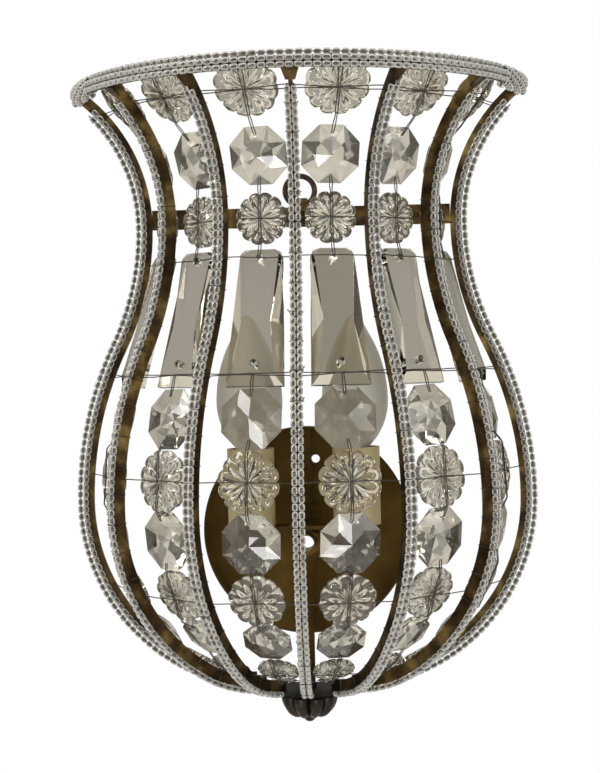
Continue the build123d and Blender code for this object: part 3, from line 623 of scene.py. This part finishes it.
# ---------------------------------------------------------------- ties that hold the strings on
def tie(build, place, way, normal, outline, stub_side):
    """One turn of wire round a pair of strings and its rib, with its twisted end standing out."""
    across = way.cross(normal).normalized()
    loop = [place + across * x + normal * y for x, y in outline]
    tube(build, loop, TIE_RADIUS, sides=5, closed=True)
    if stub_side:
        foot = place + across * (stub_side * STUB_FOOT[0]) + normal * STUB_FOOT[1]
        tip = foot + across * (stub_side * chance.uniform(*STUB_REACH)) + way * chance.uniform(*STUB_LEAN)
        tube(build, [foot, (foot + tip) / 2 + normal * STUB_ARCH, tip], WIRE_RADIUS, sides=5)


def tie_outline():
    """Corners of a tie, sideways and out from the rib's outer edge."""
    half = BEAD_STEP + WIRE_RADIUS / 2
    top = BEAD_WIDTH - 2 * BEAD_GAP
    side = RIB_THICKNESS / 2 + WIRE_RADIUS
    foot = -RIB_DEPTH - WIRE_RADIUS
    bend, shoulder = TIE_SHOULDER[0] * half, TIE_SHOULDER[1] * top
    return [(-half, shoulder), (-bend, top), (bend, top), (half, shoulder),
            (side, -side), (side, foot), (-side, foot), (-side, -side)]


ties = Build()
for rib in RIBS:
    middle = rib_path(rib, 0.0, 0.0, HUB_RADIUS + STRING_HUB_GAP, RIM_HEIGHT - STRING_DROP)
    if abs(rib) < LAST_RIB:
        for place, way, normal in marks_along(middle, TIE_PITCH, TIE_START):
            tie(ties, place, way, normal, tie_outline(), chance.choice(STUB_SIDES))
ties.finish("bead_ties", [wire_iron], "basket", (), 40)


# ---------------------------------------------------------------- crystals
def wire_point(rib, height):
    """Where the wires of a row meet a rib."""
    far, up = edge_place(rib, height, -WIRE_INSET)
    return rib_axes(rib)[0] * far + Vector((0, BASKET_Y, up))


def column_plane(column, height):
    """Origin and axes half way between two ribs: x from rib to rib, y up the column, z outwards."""
    ribs = (column - LAST_RIB, column - LAST_RIB + 1)
    left, right = (wire_point(rib, height) for rib in ribs)
    rise = 0.0005
    heights = (height + rise, height - rise)
    above, below = (wire_point(ribs[0], near) + wire_point(ribs[1], near) for near in heights)
    x = (right - left).normalized()
    z = x.cross(above - below).normalized()
    return (left + right) / 2, x, z.cross(x), z


def prism_plane(column):
    """Origin and axes of a column's prism, and half its height."""
    top, low = column_plane(column, PRISM_TOP)[0], column_plane(column, PRISM_LOW)[0]
    x = column_plane(column, (PRISM_TOP + PRISM_LOW) / 2)[1]
    z = x.cross(top - low).normalized()
    return (top + low) / 2, x, z.cross(x), z, (top - low).length / 2 + PRISM_HOLE_INSET


def put(plane, point):
    """A point of a plane's own x, y and z, in the room."""
    origin, x, y, z = plane[:4]
    return origin + x * point[0] + y * point[1] + z * point[2]


def turned(plane, degrees):
    """A crystal's frame, turned a little about its own normal, as hand-hung crystals are."""
    origin, x, y, z = plane[:4]
    turn = Matrix.Rotation(math.radians(degrees), 3, z)
    return origin, turn @ x, turn @ y, z


def rosette_radius(phase, radius):
    """Outline of a scalloped rosette; phase runs from 0 to 1 over one petal."""
    return radius * (1 - SCALLOP + SCALLOP * math.sqrt(max(0.0, 1 - (2 * phase - 1) ** 2)))


def flute_depth(share, phase):
    """Depth of a rosette's front, as a share of its thickness: border, flute and the hollow in its middle."""
    border = BORDER_DEPTH * (max(0.0, share - BORDER_START) / (1 - BORDER_START)) ** BORDER_POWER
    along = min(1.0, max(0.0, (share - FLUTE_START) / FLUTE_LENGTH))
    flute_end = math.sin(math.pi * along) ** FLUTE_END_POWER
    flute = FLUTE_DEPTH * flute_end * math.cos(math.pi * (phase - 0.5)) ** FLUTE_SIDE_POWER
    sink = SINK_DEPTH * max(0.0, SINK_EDGE - share) / SINK_EDGE
    return ROSETTE_FRONT + border + flute + sink


def rosette(build, plane, diameter, petals):
    """Moulded rosette: spoon-shaped flutes from the centre hole, a smooth border and a flat back."""
    radius, thick = diameter / 2, ROSETTE_SHARE * diameter
    sides = petals * ROSETTE_SAMPLES
    levels = [(share, None) for share in ROSETTE_RINGS] + list(ROSETTE_BACK)
    points = []
    for share, level in levels:
        for side in range(sides):
            phase = (side % ROSETTE_SAMPLES) / ROSETTE_SAMPLES
            turn = 2 * math.pi * side / sides
            far = share * rosette_radius(phase, radius)
            depth = thick * (flute_depth(share, phase) if level is None else level)
            points.append(put(plane, (far * math.cos(turn), far * math.sin(turn), -CRYSTAL_GAP - depth)))
    faces = [tuple(reversed(face)) for face in rings_to_faces(len(levels), sides, closed_ends=False)]
    last = (len(levels) - 1) * sides
    for side in range(sides):
        after = (side + 1) % sides
        faces.append((side, after, last + after, last + side))
    build.add(points, faces)


def octagon(build, plane, diameter, corners):
    """Cut octagon: a star with kite facets in front, a stepped cut behind and a thin girdle between."""
    radius, thick = diameter / 2, OCTAGON_SHARE * diameter
    rings = [                              # radius, turn in sides, depth in thicknesses
        (STAR_SHARE * radius, 0, STAR_DEPTH),
        (radius, 0.5, 0.5 - GIRDLE_SHARE),
        (radius, 0.5, 0.5 + GIRDLE_SHARE),
        (STEP_SHARE * radius, 0.5, STEP_DEPTH),
    ]
    points = [(0.0, 0.0, 0.0)]
    for far, shift, depth in rings:
        turns = [2 * math.pi / corners * (n + shift) for n in range(corners)]
        points += [(far * math.cos(turn), far * math.sin(turn), -depth * thick) for turn in turns]
    points.append((0.0, 0.0, -thick))
    star, rim, back_rim, back_star = (1 + corners * n for n in range(len(rings)))
    end = len(points) - 1
    # kind 1, the outer front facets, takes the lighter copy of the glass as a painted highlight
    faces, kinds = [], [0, 1, 1, 0, 0, 0] * corners
    for n in range(corners):
        m = (n + 1) % corners
        faces.append((0, star + n, star + m))
        faces.append((star + n, rim + n, star + m))
        faces.append((star + m, rim + n, rim + m))
        faces.append((rim + n, back_rim + n, back_rim + m, rim + m))
        faces.append((end, back_star + m, back_star + n))
        faces.append((back_star + n, back_star + m, back_rim + m, back_rim + n))
    build.add([put(plane, (x, y, z - CRYSTAL_GAP)) for x, y, z in points], faces, kinds)


def holed_facet(outline, low_hole, top_hole, top_right):
    """Faces of a flat facet with two round holes on its middle line, split along that line.

    The outline runs to the right from its lower left corner, and top_right counts along it to the top edge's
    right corner. Each hole runs the same way round from its lowest point.
    """
    half = len(low_hole) // 2
    down_right = [hole[n] for hole in (top_hole, low_hole) for n in range(half, -1, -1)]
    up_left = [hole[-n] for hole in (low_hole, top_hole) for n in range(half + 1)]
    return [
        (*outline[1:top_right + 1], *down_right),
        (*outline[top_right + 1:], outline[0], *up_left),
        (outline[0], outline[1], low_hole[0]),
        (outline[top_right], outline[top_right + 1], top_hole[half]),
    ]


def prism(build, column):
    """Long coffin prism: a waisted front facet between two side facets, bevels at its foot, a flat back."""
    plane = prism_plane(column)
    high, wide, narrow, cut = plane[4], PRISM_LOW_WIDTH / 2, PRISM_TOP_WIDTH / 2, PRISM_CORNER
    across, along = PRISM_FOOT_BEVEL
    waist, waist_y = (wide + narrow) / 2 - PRISM_BEVEL, -PRISM_WAIST * high
    mid = cut * (1 - math.sqrt(0.5))
    outline = [(-wide, -high), (wide, -high), (narrow, high - cut), (narrow - mid, high - mid),
               (narrow - cut, high), (cut - narrow, high), (mid - narrow, high - mid), (-narrow, high - cut)]
    side_x, top_y = narrow - PRISM_EDGE, high - PRISM_EDGE
    front = [(across - wide, along - high), (wide - across, along - high), (waist, waist_y),
             (side_x, high - cut), (narrow - cut, top_y), (cut - narrow, top_y),
             (-side_x, high - cut), (-waist, waist_y)]
    points = [(x, y, 0.0) for x, y in front]
    points += [(x, y, level) for level in (-PRISM_GIRDLE, -PRISM_THICKNESS) for x, y in outline]
    holes = []
    for level in (0.0, -PRISM_THICKNESS):
        for hole_y in (PRISM_HOLE_HEIGHT - high, high - PRISM_TOP_HOLE_DEPTH):
            holes.append([len(points) + n for n in range(HOLE_SIDES)])
            turns = [2 * math.pi * n / HOLE_SIDES for n in range(HOLE_SIDES)]
            points += [(HOLE_RADIUS * math.sin(turn), hole_y - HOLE_RADIUS * math.cos(turn), level)
                       for turn in turns]
    rim, rear = len(front), len(front) + len(outline)
    back = range(rear, rear + len(outline))
    top_right = 4                          # index of the top edge's right corner in both outlines
    faces = holed_facet(list(range(len(front))), holes[0], holes[1], top_right)
    faces += [tuple(reversed(face)) for face in holed_facet(list(back), holes[2], holes[3], top_right)]
    faces += [(0, rim, rim + 1, 1), (1, rim + 1, 2), (2, rim + 1, rim + 2), (2, rim + 2, 3),
              (3, rim + 2, rim + 3, rim + 4, 4), (4, rim + 4, rim + 5, 5), (5, rim + 5, rim + 6, rim + 7, 6),
              (6, rim + 7, 7), (7, rim + 7, rim), (7, rim, 0)]
    for ring, far_ring in ((holes[0], holes[2]), (holes[1], holes[3]), (back, range(rim, rear))):
        for n in range(len(ring)):
            faces.append((ring[n - 1], ring[n], far_ring[n], far_ring[n - 1]))
    build.add([put(plane, (x, y, z - CRYSTAL_GAP)) for x, y, z in points], faces)


for name, kind, height, diameter, count in ROWS:
    if kind == "rosette":
        shape, glass, smooth_angle = rosette, [moulded_glass], 35
    else:
        shape, glass, smooth_angle = octagon, [octagon_glass, bevel_painted_highlight_glass], None
    crystals = Build()
    for column in COLUMNS:
        plane = turned(column_plane(column, height), chance.uniform(-CRYSTAL_TURN, CRYSTAL_TURN))
        shape(crystals, plane, diameter, count)
    crystals.finish("glass_" + name, glass, "basket", [name], smooth_angle)

prisms = Build()
for column in COLUMNS:
    prism(prisms, column)
prisms.finish("glass_prism_row_4", [prism_glass], "basket", ["prism_row_4"])


# ---------------------------------------------------------------- wires of a column
def bent(start, end, outward, bow, steps=5):
    """Points of a hand-bent wire between two places, bowed a little and uneven."""
    path = []
    for step in range(steps + 1):
        share = step / steps
        sway = Vector()
        if 0 < step < steps:
            sway = Vector([chance.uniform(-WIRE_SWAY, WIRE_SWAY) for _ in range(3)])
        path.append(start.lerp(end, share) + outward * (bow * math.sin(math.pi * share)) + sway)
    return path


def level_wires(build, column, height, rises):
    """Wires from rib to rib past the middle of a crystal."""
    plane = column_plane(column, height)
    left, right = (wire_point(rib, height) for rib in (column - LAST_RIB, column - LAST_RIB + 1))
    half = (right - left).length / 2 - RIB_THICKNESS * WIRE_END
    for rise in rises:
        droop = chance.uniform(-WIRE_DROOP, WIRE_DROOP)
        middle = put(plane, (0, rise * PINCH + droop, WIRE_RADIUS))
        for side in (-1, 1):
            end_rise = rise + chance.uniform(-WIRE_END_PLAY, WIRE_END_PLAY)
            end = put(plane, (side * half, end_rise, WIRE_RADIUS))
            tube(build, bent(middle, end, plane[2], chance.uniform(-WIRE_BOW, WIRE_BOW)), WIRE_RADIUS)


def upright_pair(build, start_plane, start_y, start_z, end_plane, end_y, end_z, spread):
    """Two wires from one place to the next, close together at the lower one."""
    for side in (-1, 1):
        top = put(start_plane, (side * spread, start_y, start_z))
        foot = put(end_plane, (side * UPRIGHT_FOOT, end_y, end_z))
        tube(build, bent(top, foot, start_plane[1] * side, UPRIGHT_BOW), WIRE_RADIUS)


def octagon_hole(diameter, corners):
    """Height above an octagon's middle at which it is tied, and the wires' lift there."""
    edge = diameter / 2 * math.cos(math.pi / corners)
    return edge * OCTAGON_HOLE, WIRE_RADIUS - OCTAGON_SHARE * diameter * OCTAGON_HOLE_DEPTH


def upright_runs(column):
    """Ends of the wire pairs down a column, each with its plane, height and lift."""
    runs, upper = [], None
    for name, kind, height, diameter, count in ROWS:
        plane = column_plane(column, height)
        if kind == "rosette":
            above, lift = diameter / 2 * ROSETTE_TIE, WIRE_RADIUS * WIRE_LIFT
            centre = (plane, 0.0, lift)
            if upper is None:
                runs.append(((plane, BAND_WIRE_RISE, lift), centre))
            else:
                runs += [(upper, (plane, above, lift)), ((plane, above, lift), centre)]
            runs.append((centre, (plane, -above, lift)))
            upper = (plane, -above, lift)
        else:
            hole, lift = octagon_hole(diameter, count)
            runs.append((upper, (plane, hole, lift)))
            upper = (plane, -hole, lift)
        if name == "rosette_row_3":
            prism_frame = prism_plane(column)
            far = prism_frame[4] - PRISM_HOLE_INSET
            runs.append((upper, (prism_frame, far, WIRE_RADIUS)))
            upper = (prism_frame, -far, WIRE_RADIUS)
    return runs


for column in COLUMNS:
    wires = Build()
    for name, kind, height, *_ in ROWS:
        if kind == "rosette":
            level_wires(wires, column, height, TOP_PAIR if name == "rosette_row_1" else SINGLE_WIRE)
    level_wires(wires, column, PRISM_TOP, SINGLE_WIRE)
    level_wires(wires, column, PRISM_LOW, PRISM_PAIR)
    for number, (start, end) in enumerate(upright_runs(column)):
        upright_pair(wires, *start, *end, UPRIGHT_SPREAD if number else BAND_WIRE_SPREAD)
    node = f"column_wires_{column + 1}"
    wires.finish("round_" + node, [wire_iron], "basket", [node], 40)


# ---------------------------------------------------------------- finial
def petal_cup():
    """Bronze cup of full round petals, which hang round the screw's head in its middle."""
    low, high = (Vector(corner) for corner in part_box("finial_cup"))
    knob_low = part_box("finial_screw")[0][2]
    radius, height = (high.x - low.x) / 2, (high.z - knob_low) * CUP_SHARE
    centre = Vector(((low.x + high.x) / 2, (low.y + high.y) / 2, high.z))
    sides = PETAL_SAMPLES * CUP_PETALS
    points = []
    for ring in range(CUP_RINGS + 1):
        bend = 0.5 * math.pi * ring / CUP_RINGS
        far, deep = radius * math.cos(bend) ** CUP_FULLNESS, height * math.sin(bend) ** CUP_FALL
        dimple = CUP_DIMPLE * max(0.0, (ring / CUP_RINGS - DIMPLE_START) / (1 - DIMPLE_START)) ** 2
        for side in range(sides):
            turn = 2 * math.pi * side / sides
            petal = abs(math.sin(CUP_PETALS * turn / 2)) ** PETAL_FULLNESS
            size = 1 - CUP_VALLEY * (1 - petal)
            valley = (1 - dimple) * CUP_VALLEY * (1 - petal) * math.cos(bend) ** VALLEY_FADE
            x, y, z = far * size * math.sin(turn), -far * size * math.cos(turn), -deep * (1 - dimple - valley)
            points.append(centre + Vector((x, y, z)))
    cup = Build()
    cup.add(points, rings_to_faces(CUP_RINGS + 1, sides))
    cup.finish("petal_finial_cup", [bronze], "basket", ["finial_cup"], 60)


petal_cup()


# ---------------------------------------------------------------- floor, world, lights and camera
FLOOR_HEIGHT = -0.75
FLOOR_RADIUS = 2.2
SCREEN_COUNT = 8                           # white and dark screens round the studio, in pairs
WALL_SHADE, DARK_SHADE = 0.42, 0.12        # beside the white screens
AROUND_STOPS = [(0.40, WALL_SHADE), (0.46, 1.0), (0.68, 1.0), (0.78, DARK_SHADE)]
OVER_STOPS = [(0.24, 0.0), (0.30, 1.0), (0.44, 1.0), (0.50, 0.0)]
HIGH_STOPS = [(0.50, 1.0), (0.62, DARK_SHADE)]
WORLD_LIGHT = 0.55
LIGHT_AIM = Vector((0, -0.04, 0.07))
LIGHTS = [                                 # name, place, size, power
    ("key", (-1.3, -0.85, 1.35), 0.9, 26),
    ("fill", (1.2, -1.0, 0.4), 1.0, 8),
    ("top", (0.1, -0.3, 1.4), 0.8, 8),
    ("glint_right", (0.28, -1.2, 0.10), 0.24, 2.2),
    ("glint_left", (-0.34, -1.2, -0.02), 0.24, 2.2),
    ("glint_low", (0.0, -1.0, -0.52), 0.24, 2.2),
]
CAMERA_PLACE = (0.0373, -0.9131, 0.0986)
CAMERA_YAW, CAMERA_PITCH, CAMERA_ROLL = math.radians(2.45), math.radians(1.18), math.radians(-1.2)
CAMERA_LENS, SENSOR_WIDTH = 99.8, 36.0     # millimetres
CAMERA_SHIFT = (-0.0017, -0.0032)


def add_floor():
    """Round pale floor, far enough below that the camera doesn't see it."""
    bpy.ops.mesh.primitive_circle_add(vertices=96, radius=FLOOR_RADIUS, fill_type="NGON",
                                      location=(0, 0, FLOOR_HEIGHT))
    floor = bpy.context.object
    floor.name = "floor"
    material, _, shader = new_material("pale_floor")
    shader.inputs["Base Color"].default_value = (0.88, 0.88, 0.87, 1)
    shader.inputs["Roughness"].default_value = 0.8
    floor.data.materials.append(material)


def add_math(tree, operation, *values):
    """A math node on numbers or outputs of other nodes."""
    node = tree.nodes.new("ShaderNodeMath")
    node.operation = operation
    for socket, value in zip(node.inputs, values):
        if isinstance(value, (int, float)):
            socket.default_value = value
        else:
            tree.links.new(value, socket)
    return node.outputs[0]


def studio_shade(tree):
    """What glass and metal see of the studio: a pale wall all round, with white and dark screens between.

    It repeats every eighth of a turn, and goes through white to dark above and below.
    """
    place = tree.nodes.new("ShaderNodeTexCoord")
    split = tree.nodes.new("ShaderNodeSeparateXYZ")
    tree.links.new(place.outputs["Generated"], split.inputs[0])
    x, y, z = split.outputs
    turn = add_math(tree, "MULTIPLY", add_math(tree, "ARCTAN2", y, x), SCREEN_COUNT / math.pi)
    beside = add_math(tree, "PINGPONG", turn, 1.0)
    around = add_ramp(tree, beside, greys(AROUND_STOPS))
    rise = add_math(tree, "ABSOLUTE", z)
    over = add_ramp(tree, rise, greys(OVER_STOPS))
    dark = add_ramp(tree, rise, greys(HIGH_STOPS))
    return add_math(tree, "MULTIPLY", add_math(tree, "MAXIMUM", around, over), dark)


def set_world(light_strength):
    """White behind the object, studio walls and screens in its glass, and a plain grey that lights it."""
    world = bpy.data.worlds.new("studio")
    bpy.context.scene.world = world
    world.use_nodes = True
    tree = world.node_tree
    tree.nodes.clear()
    path = tree.nodes.new("ShaderNodeLightPath")
    mirrored = add_math(tree, "MAXIMUM", path.outputs["Is Glossy Ray"], path.outputs["Is Transmission Ray"])
    light, screens, white = (tree.nodes.new("ShaderNodeBackground") for _ in range(3))
    for shade, strength in ((light, light_strength), (screens, 1.0), (white, 1.0)):
        shade.inputs["Color"].default_value = (1, 1, 1, 1)
        shade.inputs["Strength"].default_value = strength
    tree.links.new(studio_shade(tree), screens.inputs["Color"])
    inner, outer = (tree.nodes.new("ShaderNodeMixShader") for _ in range(2))
    out = tree.nodes.new("ShaderNodeOutputWorld")
    tree.links.new(mirrored, inner.inputs["Fac"])
    tree.links.new(light.outputs[0], inner.inputs[1])
    tree.links.new(screens.outputs[0], inner.inputs[2])
    tree.links.new(path.outputs["Is Camera Ray"], outer.inputs["Fac"])
    tree.links.new(inner.outputs[0], outer.inputs[1])
    tree.links.new(white.outputs[0], outer.inputs[2])
    tree.links.new(outer.outputs[0], out.inputs["Surface"])


def add_light(name, place, size, power):
    """Square soft light aimed at LIGHT_AIM, in the middle of the object."""
    data = bpy.data.lights.new(name, "AREA")
    data.size = size
    data.energy = power
    light = bpy.data.objects.new(name, data)
    light.location = place
    aim = LIGHT_AIM - Vector(place)
    light.rotation_euler = aim.to_track_quat("-Z", "Y").to_euler()
    bpy.context.scene.collection.objects.link(light)


def add_camera():
    """The photograph's viewpoint, from a perspective fit to the crystal rows and rib outlines."""
    level = Vector((math.cos(CAMERA_YAW), math.sin(CAMERA_YAW), 0))
    flat = math.cos(CAMERA_PITCH)
    forward = Vector((-math.sin(CAMERA_YAW) * flat, math.cos(CAMERA_YAW) * flat, -math.sin(CAMERA_PITCH)))
    upright = level.cross(forward)
    right = level * math.cos(CAMERA_ROLL) + upright * math.sin(CAMERA_ROLL)
    up = upright * math.cos(CAMERA_ROLL) - level * math.sin(CAMERA_ROLL)
    data = bpy.data.cameras.new("camera")
    data.sensor_fit = "HORIZONTAL"
    data.sensor_width = SENSOR_WIDTH
    data.lens = CAMERA_LENS
    data.shift_x, data.shift_y = CAMERA_SHIFT
    camera = bpy.data.objects.new("camera", data)
    turned_to_view = Matrix((right, up, -forward)).transposed().to_4x4()
    camera.matrix_world = Matrix.Translation(CAMERA_PLACE) @ turned_to_view
    bpy.context.scene.collection.objects.link(camera)
    bpy.context.scene.camera = camera


add_floor()
set_world(WORLD_LIGHT)
for light in LIGHTS:
    add_light(*light)
add_camera()
bpy.context.scene.view_settings.view_transform = "Standard"
